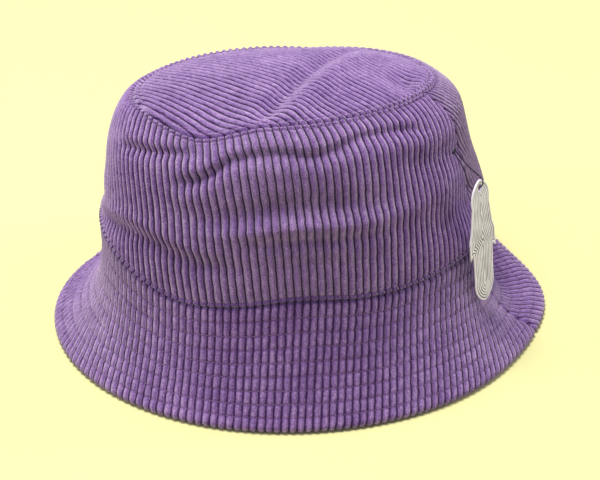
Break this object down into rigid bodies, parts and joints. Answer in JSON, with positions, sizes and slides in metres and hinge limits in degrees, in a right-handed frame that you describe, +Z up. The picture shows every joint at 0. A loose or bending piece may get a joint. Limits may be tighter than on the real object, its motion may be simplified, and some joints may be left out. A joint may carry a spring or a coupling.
{
  "type": "bucket hat",
  "caption": "Soft bucket hat in wide-wale corduroy with a stitched sloping brim, a lining, a sweatband and a flat metal charm hung from the side by a thread.",
  "frame": {"origin": "centre of the brim's rim, on the surface the hat stands on", "axes": "+Z up; -Y is the front of the hat; +X is the wearer's left"},
  "size_m": [0.232, 0.248, 0.136],
  "materials": {
    "corduroy": "wide-wale cotton corduroy, velvety",
    "stiffener": "non-woven stiffener",
    "lining": "plain-woven cotton",
    "sweatband": "cotton twill tape",
    "label": "woven satin tape, blank",
    "stitching": "sewing thread",
    "hanging_thread": "waxed thread",
    "charm_metal": "silver tone, engraved, darkened in the grooves"
  },
  "bodies": {
    "hat": {"crown_tip": "corduroy", "crown_side_left": "corduroy", "crown_side_right": "corduroy", "brim_top_left": "corduroy", "brim_top_right": "corduroy", "brim_stiffener": "stiffener", "brim_under_left": "corduroy", "brim_under_right": "corduroy", "lining_tip": "lining", "lining_side_left": "lining", "lining_side_right": "lining", "sweatband": "sweatband", "woven_label": "label", "care_label": "label", "brim_stitching": "stitching", "base_stitching": "stitching", "tip_stitching": "stitching", "band_stitching": "stitching", "thread_anchor": "hanging_thread"},
    "thread": {"charm_thread": "hanging_thread"},
    "charm": {"charm_plate": "charm_metal"}
  },
  "joints": [
    {"name": "thread_swing", "type": "hinge", "parent": "hat", "child": "thread", "pos_m": [0.06742, 0.03893, 0.1], "axis": [0.866, 0.5, 0], "range_deg": [-25, 25]},
    {"name": "charm_lift", "type": "hinge", "parent": "thread", "child": "charm", "pos_m": [0.07931, 0.04579, 0.0845], "axis": [0.309, -0.9511, 0], "range_deg": [0, 70]}
  ]
}
